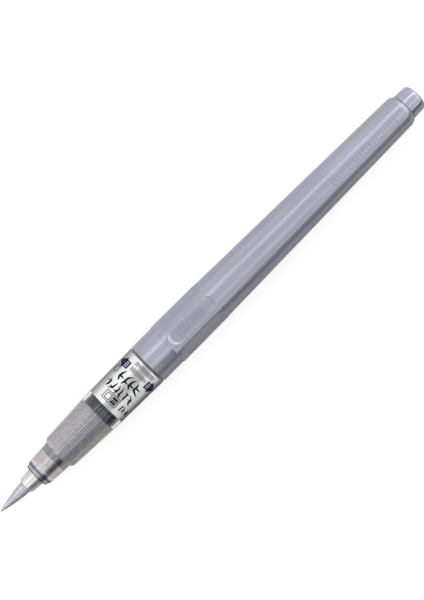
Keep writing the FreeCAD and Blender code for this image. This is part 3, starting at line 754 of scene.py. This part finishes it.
def ribbon(points, faces, line, level=0):
    """Adds a printed stroke. Each corner of the line is (u, side, width) in millimetres, seen from the front."""
    fine = []
    for (u1, s1, w1), (u2, s2, w2) in zip(line, line[1:]):
        steps = max(1, math.ceil(math.hypot(u2 - u1, s2 - s1) / STROKE_STEP))
        for k in range(steps):
            fine.append((u1 + (u2 - u1) * k / steps, s1 + (s2 - s1) * k / steps, w1 + (w2 - w1) * k / steps))
    fine.append(line[-1])
    first = len(points)
    for i, (u, s, width) in enumerate(fine):
        before, after = fine[max(i - 1, 0)], fine[min(i + 1, len(fine) - 1)]
        du, ds = after[0] - before[0], after[1] - before[1]
        length = math.hypot(du, ds) or 1
        nu, ns = -ds / length * width / 2, du / length * width / 2
        for lift in (PRINT_HIGH + level * PRINT_HIGH, PRINT_LOW + level * PRINT_HIGH):
            for sign in (1, -1):
                uu, ss = u + sign * nu, s + sign * ns
                points.append(around(uu, foil_radius(uu) + lift, across(uu, ss)))
        if i:
            a, b = first + (i - 1) * 4, first + i * 4
            for one, two in ((0, 1), (1, 3), (3, 2), (2, 0)):
                faces.append((a + one, a + two, b + two, b + one))
    faces.append([first, first + 1, first + 3, first + 2])
    last = first + (len(fine) - 1) * 4
    faces.append([last, last + 1, last + 3, last + 2])


def print_on_label(name, lines, ink, level=0):
    points, faces = [], []
    for line in lines:
        ribbon(points, faces, line, level)
    make_piece(name, points, faces, ink, "front")


def bar(u1, s1, u2, s2, width):
    return [(u1, s1, width), (u2, s2, width)]


def box_lines(u1, s1, u2, s2, width):
    """The four sides of a printed frame."""
    half = width / 2
    return [
        bar(u1 - half, s1, u2 + half, s1, width), bar(u1 - half, s2, u2 + half, s2, width),
        bar(u1, s1 + half, u1, s2 - half, width), bar(u2, s1 + half, u2, s2 - half, width),
    ]


# Two arrows show which way the section unscrews.
print_on_label("print_arrows", [
    [(54.45, -3.35, 2.3), (54.45, -4.75, 2.3), (54.45, -4.80, 3.8), (54.45, -6.20, 0.3)],
    [(54.25, 3.50, 2.3), (54.25, 4.75, 2.3), (54.25, 4.80, 3.8), (54.25, 6.15, 0.3)],
], NAVY_INK)
print_on_label("print_arrow_marks", [
    bar(53.85, -4.55, 53.85, -3.75, 0.22), bar(54.45, -4.75, 54.45, -3.65, 0.22),
    bar(55.05, -4.55, 55.05, -3.75, 0.22), bar(53.65, 3.85, 53.65, 4.65, 0.22),
    bar(54.25, 3.75, 54.25, 4.85, 0.22), bar(54.85, 3.85, 54.85, 4.65, 0.22),
], WHITE_INK, level=1)
# A frame with two tiles, one empty and one filled.
print_on_label("print_frame", [
    *box_lines(43.35, -2.90, 46.05, 1.95, 0.20), *box_lines(43.85, -2.30, 45.55, -0.75, 0.22),
    bar(44.70, -0.30, 44.70, 1.55, 1.9),
], BLACK_INK)
print_on_label("print_tile_marks", [
    bar(44.25, 0.00, 45.15, 0.00, 0.14), bar(44.25, 0.60, 45.15, 0.60, 0.14),
    bar(44.25, 1.20, 45.15, 1.20, 0.14),
], WHITE_INK, level=1)


# Columns of dabs: each column's u, a dab's half length and width, the column's two ends, and how many dabs.
DAB_COLUMNS = [(47.7, 1.65, 0.55, -5.2, 4.3, 6), (51.4, 1.9, 0.72, -3.7, 4.0, 4), (44.6, 1.15, 0.42, 2.9, 5.8, 3)]


def make_dabs():
    """Free brush dabs, each two crossed strokes that swell and thin, with a random lean and bend."""
    strokes = []
    for centre, tall, wide, low, high, count in DAB_COLUMNS:
        for i in range(count):
            s = low + (high - low) * (i + 0.5) / count
            lean = RANDOM.uniform(-0.5, 0.5)
            bend = RANDOM.uniform(-0.35, 0.35)
            reach = tall * RANDOM.uniform(0.7, 1.0)
            step = (high - low) / count
            strokes.append([
                (centre - reach, s - lean * step, wide * 0.35),
                (centre - reach * 0.45, s + bend * step - 0.1, wide),
                (centre + reach * 0.35, s + bend * step, wide * 0.8),
                (centre + reach, s + lean * step, wide * 0.25),
            ])
            side = RANDOM.uniform(-0.6, 0.6) * reach
            strokes.append([
                (centre + side, s - 0.40 * step, wide * 0.3), (centre + side + 0.1, s, wide * 0.75),
                (centre + side, s + 0.42 * step, wide * 0.3),
            ])
    print_on_label("print_dabs", strokes, BLACK_INK)


make_dabs()

# Two columns of small print as plain bars, and an empty oval.
FINE_COLUMNS, FINE_WIDTH, FINE_PITCH = ((54.6, -2.4, 3.2, 1.75), (56.6, -2.4, 3.9, 1.55)), 0.28, 0.52
fine_print = []
for column, low, high, length in FINE_COLUMNS:
    for s in np.arange(low, high, FINE_PITCH):
        reach = length * (0.45 + 0.55 * RANDOM.random()) / 2
        fine_print.append(bar(column - reach, float(s), column + reach, float(s), FINE_WIDTH))
print_on_label("print_fine", fine_print, GREY_INK)
oval = [(51.7 + 1.15 * math.cos(a), -5.35 + 0.45 * math.sin(a), 0.30) for a in np.linspace(0, 2 * math.pi, 33)]
print_on_label("print_oval", [oval], GREY_INK)

# ---------------------------------------------------------------- barrel and push pad

HOLLOW_CENTRE, HOLLOW_LENGTH, HOLLOW_WIDTH, HOLLOW_FLOOR = 75.6, 17.5, 5.7, 5.98
WINDOW_LENGTH, WINDOW_WIDTH, PAD_GAP = 17.2, 5.4, 0.05
SIDE_SLOPE, END_SLOPE = 0.75, 1.7
NECK_FRONT, NECK_RADIUS, THREAD_PITCH = 49.5, 5.35, 2.0
THREAD_LOW, THREAD_RISE, THREAD_HALF_WIDTH = 0.17, 0.22, 0.24
# The outside, from the joint line to the tail: the cap's seat, the raised band, and the long taper.
BARREL_U, BARREL_RADIUS = zip(
    (58.58, 6.42), (58.62, 6.50), (58.90, 6.55), (66.00, 6.55), (66.10, 6.58), (66.30, 6.71), (66.42, 6.725),
    (84.00, 6.60), (84.10, 6.585), (84.30, 6.51), (84.40, 6.50), (158.90, 5.03), (159.55, 4.97), (160.20, 4.74),
    (160.70, 4.42), (160.90, 4.22),
)
BARREL_BORE = [
    (160.90, 3.40), (157.50, 3.40), (157.50, 4.10), (86.00, 5.20), (60.50, 5.20), (60.50, 4.40),
    (NECK_FRONT, 4.40),
]
BARREL_COLUMNS = 288
CUTTER_LOW, CUTTER_HIGH = 3.0, 9.0
PAD_RINGS, PAD_WALL_Z, PAD_BASE_Z, PAD_EDGE_DROP = 14, 5.2, 4.75, 0.03
GRIP_BARS, GRIP_PITCH = 8, 1.3


def eased(t):
    t = min(1.0, max(0.0, t))
    return t * t * (3 - 2 * t)


def scooped(u, angle, radius):
    """The radius of the squeeze zone: six hollows with flat floors round a surface of the given radius."""
    sixth = math.pi / 3
    turned = (angle + sixth / 2) % sixth - sixth / 2
    side = radius * math.sin(turned)
    beyond = max(abs(u - HOLLOW_CENTRE) - (HOLLOW_LENGTH - HOLLOW_WIDTH) / 2, 0)
    distance = math.hypot(beyond, side)
    inside = HOLLOW_WIDTH / 2 + 0.05 - distance
    endwise = beyond / distance if distance else 0
    slope = SIDE_SLOPE + (END_SLOPE - SIDE_SLOPE) * endwise
    floor = min(radius, HOLLOW_FLOOR / math.cos(turned))
    return radius - (radius - floor) * eased(inside / slope)


def threaded(u, angle):
    """The neck's radius, with a right-hand thread that fades at both ends."""
    turned = math.pi / 2 - angle
    phase = (u / THREAD_PITCH + turned / (2 * math.pi)) % 1
    ridge = eased(1 - abs(phase - 0.5) / THREAD_HALF_WIDTH)
    fade = eased((u - NECK_FRONT - 0.6) / 0.8) * eased((58.1 - u) / 0.6)
    return NECK_RADIUS - THREAD_LOW + THREAD_RISE * ridge * fade


def barrel_radius(u):
    """The barrel's outer radius, without the hollows."""
    return float(np.interp(u, BARREL_U, BARREL_RADIUS))


def make_barrel():
    """The barrel: a threaded neck, the outside with its hollows, and the bore, with a window for the push pad."""
    columns = BARREL_COLUMNS
    rows = [(NECK_FRONT, 4.75), (49.62, 4.95), (50.0, NECK_RADIUS - THREAD_LOW)]
    rows += [(float(u), None) for u in np.arange(50.1, 58.55, 0.1)]
    rows += [(58.57, NECK_RADIUS - THREAD_LOW)]
    hollow_rows = {float(u) for u in np.arange(66.5, 84.0, 0.16)}
    taper_rows = {float(u) for u in np.arange(88, 158, 5)}
    rows += [(u, barrel_radius(u)) for u in sorted(set(BARREL_U) | hollow_rows | taper_rows)]
    points, faces = [], []
    for u, radius in rows:
        for k in range(columns):
            angle = 2 * math.pi * k / columns
            if radius is None:
                here = threaded(u, angle)
            elif 66.3 < u < 84.3:
                here = scooped(u, angle, radius)
            else:
                here = radius
            points.append(around(u, here, angle))
    for u, radius in BARREL_BORE:
        points += circle(u, radius, columns)
    count = len(rows) + len(BARREL_BORE)
    for row in range(count):
        join_rings(faces, row * columns, (row + 1) % count * columns, columns)
    barrel = make_piece("barrel_shell", points, faces, PEARL, None)

    outline = stadium(WINDOW_LENGTH, WINDOW_WIDTH)
    heights = (CUTTER_LOW * MM, CUTTER_HIGH * MM)
    points = [(x_at(HOLLOW_CENTRE + along), side * MM, z) for z in heights for along, side in outline]
    sides = len(outline)
    faces = [list(range(sides)), list(range(sides, 2 * sides))]
    join_rings(faces, 0, sides, sides)
    cutter = make_piece("window_cutter", points, faces, PEARL, None)
    cut = barrel.modifiers.new("window", "BOOLEAN")
    cut.operation, cut.solver, cut.object = "DIFFERENCE", "EXACT", cutter
    bpy.context.view_layer.update()
    seen = barrel.evaluated_get(bpy.context.evaluated_depsgraph_get())
    mesh = bpy.data.meshes.new_from_object(seen)
    barrel.modifiers.clear()
    barrel.data = mesh
    mesh.set_sharp_from_angle(angle=math.radians(38))
    bpy.data.objects.remove(cutter)
    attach(barrel, "barrel")
    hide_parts("barrel")


make_barrel()


def pad_top(u, side):
    """The height of the pad's face, which carries on the hollow's shape."""
    radius = barrel_radius(u)
    angle = math.asin(side / radius)
    return scooped(u, angle, radius) * math.cos(angle)


# A raised mark's rings: each one's share of the width, and its share of the height above the surface.
PILL_RINGS = ((1.0, -0.12), (1.0, 0.35), (0.93, 0.75), (0.78, 0.95), (0.5, 1.0))


def pill(points, faces, u, side, length, width, height, floor, tilt=math.pi / 2):
    """Adds a raised mark with round ends and a softened edge to a mesh."""
    first = len(points)
    turn_cos, turn_sin = math.cos(tilt), math.sin(tilt)
    for share, rise in PILL_RINGS:
        shrink = width * (1 - share)
        outline = stadium(length - shrink, width - shrink, 8)
        for along, over in outline:
            du, dy = along * turn_cos - over * turn_sin, along * turn_sin + over * turn_cos
            points.append((x_at(u + du), (side + dy) * MM, (floor(u + du, side + dy) + rise * height) * MM))
    sides = len(outline)
    last = first + (len(PILL_RINGS) - 1) * sides
    for ring_start in range(first, last, sides):
        join_rings(faces, ring_start, ring_start + sides, sides)
    for end_ring in (first, last):
        faces.append(list(range(end_ring, end_ring + sides)))


def make_pad():
    """The push pad: a dished face with raised grip marks, its wall, and the plate that holds it in."""
    points, faces = [], []
    length, width = WINDOW_LENGTH - 2 * PAD_GAP, WINDOW_WIDTH - 2 * PAD_GAP
    for ring_index in range(PAD_RINGS + 1):
        share = ring_index / PAD_RINGS
        outline = stadium(length - width * (1 - share) * 0.999, max(width * share, width * 0.001))
        drop = PAD_EDGE_DROP if ring_index == PAD_RINGS else 0.0
        for along, side in outline:
            u = HOLLOW_CENTRE + along
            points.append((x_at(u), side * MM, (pad_top(u, side) - drop) * MM))
    outline = stadium(length, width)
    sides = len(outline)
    for z in (PAD_WALL_Z, PAD_BASE_Z):
        points += [(x_at(HOLLOW_CENTRE + along), side * MM, z * MM) for along, side in outline]
    last = (PAD_RINGS + 2) * sides
    for ring_start in range(0, last, sides):
        join_rings(faces, ring_start, ring_start + sides, sides)
    for end_ring in (0, last):
        faces.append(list(range(end_ring, end_ring + sides)))
    for place in range(GRIP_BARS):
        u = HOLLOW_CENTRE + (place - (GRIP_BARS - 1) / 2) * GRIP_PITCH
        pill(points, faces, u, side=0.0, length=2.9, width=0.62, height=0.30, floor=pad_top)
    pad = make_piece("push_pad_face", points, faces, PEARL, "push_pad")
    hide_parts("push_pad")


make_pad()

tail = turn(
    "tail_plug_cap",
    [
        (154.50, 0.0), (154.50, 3.35, 0.3), (161.05, 3.35), (161.05, 4.20, 0.10), (164.60, 4.09, 0.05),
        (165.35, 3.93, 0.25), (165.85, 3.35, 0.30), (166.00, 2.55, 0.2), (166.00, 0.0),
    ],
    POLISHED_PEARL, "barrel", closed=False,
)
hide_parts("tail_plug")


def make_ticks():
    """A row of small raised scale marks near the tail, with every fifth one longer."""
    def surface(u, side):
        return math.sqrt(barrel_radius(u) ** 2 - side ** 2)

    points, faces = [], []
    for i, u in enumerate(np.arange(131.0, 156.5, 1.25)):
        length = 1.9 if i % 5 == 0 else 1.3
        pill(points, faces, float(u), side=-0.55, length=length, width=0.50, height=0.22, floor=surface)
    make_piece("scale_marks", points, faces, PEARL, "barrel")


make_ticks()

# ---------------------------------------------------------------- table, lights and camera


FLOOR_REACH, DOME_REACH, DOME_COLUMNS, DOME_ROWS = 4.0, 3.9, 48, 12


def make_floor(name, drop, near, far, shade, glow, **rays):
    """A wide pale floor under the pen, from y near to far, with a faint variation and a glow."""
    paint = Paint(name, Roughness=0.7)
    paint.colour(paint.ramp(paint.noise(6, 3.0), [(0.3, shade), (0.7, shade + 0.02)]))
    paint.shader.inputs["Emission Color"].default_value = (1, 1, 1, 1)
    paint.shader.inputs["Emission Strength"].default_value = glow
    z = CAD_LOW.z - drop
    corners = [(-FLOOR_REACH, near, z), (FLOOR_REACH, near, z), (FLOOR_REACH, far, z), (-FLOOR_REACH, far, z)]
    floor = make_piece(name, corners, [(0, 1, 2, 3)], paint.material, None, closed=False)
    for ray, on in rays.items():
        setattr(floor, ray, on)


def make_backdrop():
    """A plain white dome far round the pen, which only the camera sees, in the views from a low angle."""
    paint = Paint("backdrop", Roughness=0.9)
    paint.colour(paint.ramp(paint.noise(2, 2.0), [(0.3, 0.0), (0.7, 0.01)]))
    paint.shader.inputs["Emission Color"].default_value = (1, 1, 1, 1)
    paint.shader.inputs["Emission Strength"].default_value = 1.0
    points, faces = [], []
    for row in range(DOME_ROWS + 1):
        rise = math.pi / 2 * row / DOME_ROWS
        flat, height = DOME_REACH * math.cos(rise), CAD_LOW.z - 0.01 + DOME_REACH * math.sin(rise)
        for k in range(DOME_COLUMNS):
            way = 2 * math.pi * k / DOME_COLUMNS
            points.append((flat * math.cos(way), flat * math.sin(way), height))
    for row in range(DOME_ROWS):
        join_rings(faces, row * DOME_COLUMNS, (row + 1) * DOME_COLUMNS, DOME_COLUMNS)
    dome = make_piece("backdrop", points, faces, paint.material, None, closed=False)
    dome.visible_diffuse = dome.visible_glossy = dome.visible_transmission = dome.visible_shadow = False


# The room's brightness by the angle from straight up, in degrees, across the pen: +Y is negative, -Y positive.
# Two long soft boxes hang over the pen, a bright one and a dimmer one, and a narrow strip is low on the -Y side.
ROOM = [
    (-90, 0.80), (-58, 0.84), (-45, 0.86), (-38, 1.00), (-36, 1.75), (-28, 1.75), (-25, 0.95), (-16, 0.80),
    (-4, 0.74), (8, 0.80), (15, 1.15), (24, 1.15), (29, 0.88), (40, 0.74), (47, 0.66), (50, 1.05), (57, 1.05),
    (61, 0.66), (90, 0.60),
]
# How that brightness changes with the direction's share along the pen, from the brush's side to the tail's.
ROOM_ALONG = [
    (-1.0, 0.85), (-0.6, 0.90), (-0.42, 1.20), (-0.22, 1.20), (-0.08, 0.94), (0.10, 0.97), (0.26, 1.08),
    (0.55, 1.12), (0.70, 1.70), (1.0, 1.70),
]


def make_world():
    """The room that lights the pen, as bands of brightness across and along it."""
    world = bpy.data.worlds.new("studio")
    world.use_nodes = True
    tree = world.node_tree
    way = tree.nodes.new("ShaderNodeTexCoord")
    along, angle = add_angle(tree, way.outputs["Generated"])
    bands = [((degrees + 90) / 180, (value, value, value * 1.01)) for degrees, value in ROOM]
    colour = add_ramp_between(tree, angle, -math.pi / 2, math.pi / 2, bands)
    strength = add_ramp_between(tree, along, -1.0, 1.0, [((x + 1) / 2, value) for x, value in ROOM_ALONG])
    background = tree.nodes["Background"]
    tree.links.new(colour, background.inputs["Color"])
    tree.links.new(strength, background.inputs["Strength"])
    bpy.context.scene.world = world


# The dark cards stand beside the pen on the -Y side. Each has its two ends along x, and the height of its top.
FLAG_Y, FLAGS = -0.26, {"flag_tall": (-0.45, -0.062, 0.36), "flag_low": (-0.062, 0.60, 0.135)}


def make_flags():
    """Dark cards beside the pen, out of the camera's sight, that darken the reflections on that side."""
    paint = plastic_paint("flag_black", (0.02, 0.02, 0.025), (0.03, 0.03, 0.035), 0.8, 0.95, grain=20)
    for name, (start, end, high) in FLAGS.items():
        corners = [(x, FLAG_Y, z) for x, z in ((start, CAD_LOW.z), (end, CAD_LOW.z), (end, high), (start, high))]
        flag = make_piece(name, corners, [(0, 1, 2, 3)], paint, None, closed=False)
        flag.visible_camera = False


# The camera looks down at a point just behind the pen's middle. It leans towards the brush, and its roll sets the
# pen across the picture as in the photograph. The lens is long: 96 mm for a 36 mm sensor.
CAMERA_LEAN, CAMERA_ROLL, CAMERA_DISTANCE, CAMERA_OFFSET = math.radians(1.5), math.radians(45.03), 0.4512, 0.001
SENSOR_MM, LENS_MM = 36.0, 96.0


def make_camera():
    """The camera at the photograph's viewing angle."""
    centre = (CAD_LOW + CAD_HIGH) / 2
    target = Vector((centre.x + CAMERA_OFFSET, 0, 0))
    lean, roll, distance = CAMERA_LEAN, CAMERA_ROLL, CAMERA_DISTANCE
    back = Vector((-math.sin(lean), 0, math.cos(lean)))
    along = Vector((math.cos(lean), 0, math.sin(lean)))
    side = Vector((0, 1, 0))
    right = math.cos(roll) * along - math.sin(roll) * side
    up = math.sin(roll) * along + math.cos(roll) * side
    data = bpy.data.cameras.new("camera")
    data.sensor_width, data.lens = SENSOR_MM, LENS_MM
    data.clip_start, data.clip_end = 0.01, 20.0
    camera = bpy.data.objects.new("camera", data)
    turned = Matrix((right, up, back)).transposed().to_4x4()
    camera.matrix_world = Matrix.Translation(target + back * distance) @ turned
    bpy.context.scene.collection.objects.link(camera)
    bpy.context.scene.camera = camera


# The white table is what the camera sees, straight or through the clear plastic. Two more floors just under it,
# a darker one on the -Y side, are what the pen reflects.
BOUNCE_DROP = 0.0002
BOUNCE_RAYS = {"visible_camera": False, "visible_transmission": False}
make_floor("table", 0.0, -FLOOR_REACH, FLOOR_REACH, 0.40, 0.72, visible_diffuse=False, visible_glossy=False)
make_floor("table_bounce_dim", BOUNCE_DROP, -FLOOR_REACH, 0.0, 0.44, 0.0, **BOUNCE_RAYS)
make_floor("table_bounce_bright", BOUNCE_DROP, 0.0, FLOOR_REACH, 0.72, 0.0, **BOUNCE_RAYS)
make_backdrop()
make_world()
make_flags()
make_camera()
bpy.context.scene.view_settings.view_transform = "Standard"
